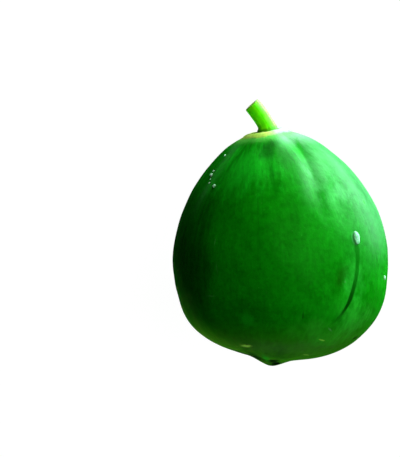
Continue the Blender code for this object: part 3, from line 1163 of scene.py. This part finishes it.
# Lights: name, what they give, place, size, power and colour. Many stand lower than the
# floor, which takes no shadow, so that pale light wraps round the fruit from behind.
SHADE, SHINE = "shade", "shine"
LIGHTS = (
    ("key", SHADE, (1.10, 0.72, -0.22), 0.9, 41.0, COOL),
    ("gloss_upper", SHINE, (0.95, 0.76, -0.28), 0.8, 23.0, COOL_GLOSS),
    ("gloss_right", SHINE, (1.12, 0.34, -0.42), 0.8, 6.0, COOL_GLOSS),
    ("gloss_top", SHINE, (0.48, 1.10, -0.25), 0.8, 9.0, COOL_GLOSS),
    ("fill", SHADE, (0.64, 0.45, 1.08), 1.4, 11.6, WHITE),
    ("low", SHADE, (-0.05, -1.20, -0.45), 0.9, 6.0, (1.0, 0.98, 0.85)),
    ("low_left", SHADE, (-0.50, -0.62, -1.15), 0.8, 22.0, (1.0, 0.92, 0.2)),
    ("low_right", SHADE, (0.75, -0.75, -0.70), 0.8, 6.0, (0.95, 1.0, 0.6)),
    ("top", SHADE, (0.42, 1.18, 0.0), 0.7, 5.0, WHITE),
    ("back", SHADE, (0.10, 1.12, -0.52), 0.7, 6.5, WHITE),
)


def make_floor():
    """A large square under the fruit. It gives the fruit no light of its own."""
    mesh = bpy.data.meshes.new("floor")
    corners = ((-1, -1), (1, -1), (1, 1), (-1, 1))
    points = [(FLOOR_HALF * x, FLOOR_HALF * y, -FLOOR_DROP) for x, y in corners]
    mesh.from_pydata(points, [], [(0, 1, 2, 3)])
    floor = bpy.data.objects.new("floor", mesh)
    bpy.context.scene.collection.objects.link(floor)
    mesh.materials.append(floor_material())
    floor.visible_diffuse = False
    floor.visible_glossy = False
    floor.visible_shadow = False


def area_light(name, gives, place, size, power, colour):
    """A square soft light at a place, facing the fruit."""
    data = bpy.data.lights.new(name, "AREA")
    data.shape = "SQUARE"
    data.size = size
    data.energy = power
    data.color = colour
    light = bpy.data.objects.new(name, data)
    light.location = place
    direction = Vector(AIM) - Vector(place)
    light.rotation_euler = direction.to_track_quat("-Z", "Y").to_euler()
    light.visible_diffuse = gives == SHADE
    light.visible_glossy = gives == SHINE
    bpy.context.scene.collection.objects.link(light)


def make_lights():
    """The soft lights, and a very weak even light from all round."""
    for light in LIGHTS:
        area_light(*light)
    world = bpy.data.worlds.new("studio")
    world.use_nodes = True
    background = world.node_tree.nodes["Background"]
    background.inputs["Color"].default_value = (*WHITE, 1.0)
    background.inputs["Strength"].default_value = WORLD_STRENGTH
    bpy.context.scene.world = world


def make_camera():
    """Looks down on the fruit, with the stalk at the top of the picture."""
    down = -np.array([0.0, math.sin(VIEW_TILT), math.cos(VIEW_TILT)])
    level = np.array([1.0, 0.0, 0.0])
    ahead = np.array([0.0, math.cos(VIEW_TILT), -math.sin(VIEW_TILT)])
    right = math.cos(VIEW_ROLL) * level - math.sin(VIEW_ROLL) * ahead
    up = math.sin(VIEW_ROLL) * level + math.cos(VIEW_ROLL) * ahead
    across = PICTURE[0] / 2.0 - FRUIT_IN_PICTURE[0]
    above = FRUIT_IN_PICTURE[1] - PICTURE[1] / 2.0
    middle = laid_down(np.zeros(3))
    middle = middle + PIXEL * MM * (across * right + above * up)
    place = middle - CAMERA_DISTANCE * down
    data = bpy.data.cameras.new("camera")
    data.sensor_width = SENSOR
    data.lens = SENSOR * CAMERA_DISTANCE / (PICTURE[1] * PIXEL * MM)
    data.clip_start = 0.05
    camera = bpy.data.objects.new("camera", data)
    turned = Matrix((Vector(right), Vector(up), Vector(-down))).transposed()
    camera.matrix_world = Matrix.Translation(Vector(place)) @ turned.to_4x4()
    bpy.context.scene.collection.objects.link(camera)
    bpy.context.scene.camera = camera


def dress(piece, material, node=None):
    """Give a piece its material and the solid it stands for."""
    piece.data.materials.append(material)
    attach(piece, "root")
    if node:
        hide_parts(node)


def main():
    """Make every piece, the light and the camera."""
    dress(fruit_skin(), skin_material(), "fruit_body")
    dress(stalk(), stalk_material(), "stem")
    drop_look = sap_material(
        "dried_sap", (0.18, 0.66, 0.26), (0.36, 0.92, 0.46), stain=0.5, wrinkle=0.22
    )
    dress(sap_drop(), drop_look, "latex_bead")
    dots_look = sap_material(
        "dried_dots", (0.30, 0.90, 0.38), (0.46, 1.0, 0.54), stain=0.1, wrinkle=0.05
    )
    dress(sap_dots(), dots_look)
    make_floor()
    make_lights()
    make_camera()
    bpy.context.scene.view_settings.view_transform = "Standard"


main()
